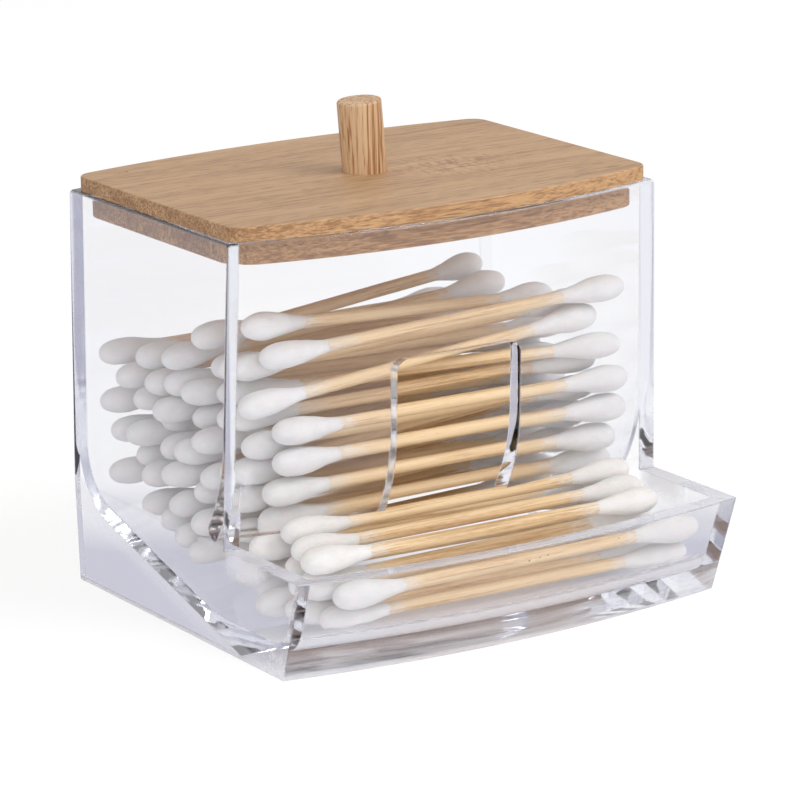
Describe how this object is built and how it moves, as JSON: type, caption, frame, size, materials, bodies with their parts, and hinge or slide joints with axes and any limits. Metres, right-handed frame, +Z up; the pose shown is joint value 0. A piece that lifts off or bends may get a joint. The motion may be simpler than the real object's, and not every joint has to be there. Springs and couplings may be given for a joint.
{
  "type": "cotton swab storage box",
  "caption": "Clear bowed box with a sloping floor, a finger notch and a dispensing tray, a bamboo lid with a dowel knob, and cotton swabs lying inside.",
  "frame": {"origin": "middle of the plan outline, on the surface that the box stands on", "axes": "+Z up, X across the front along the swabs, front with the tray towards -Y"},
  "size_m": [0.0926, 0.09, 0.0905],
  "materials": {
    "clear_plastic": "clear, polished",
    "bamboo": "sanded, unlacquered",
    "stick_wood": "plain turned wood",
    "cotton": "wound cotton, matt"
  },
  "bodies": {
    "box": {"box_body": "clear_plastic", "swab_buds_01": "cotton", "swab_buds_02": "cotton", "swab_buds_03": "cotton", "swab_buds_04": "cotton", "swab_buds_05": "cotton", "swab_buds_06": "cotton", "swab_buds_07": "cotton", "swab_buds_08": "cotton", "swab_buds_09": "cotton", "swab_sticks_01": "stick_wood", "swab_sticks_02": "stick_wood", "swab_sticks_03": "stick_wood", "swab_sticks_04": "stick_wood", "swab_sticks_05": "stick_wood", "swab_sticks_06": "stick_wood", "swab_sticks_07": "stick_wood", "swab_sticks_08": "stick_wood", "swab_sticks_09": "stick_wood"},
    "lid": {"lid_board": "bamboo", "knob_dowel": "bamboo"}
  },
  "joints": [
    {"name": "lid_lift", "type": "slide", "parent": "box", "child": "lid", "axis": [0, 0, 1], "range_m": [0, 0.03]}
  ]
}
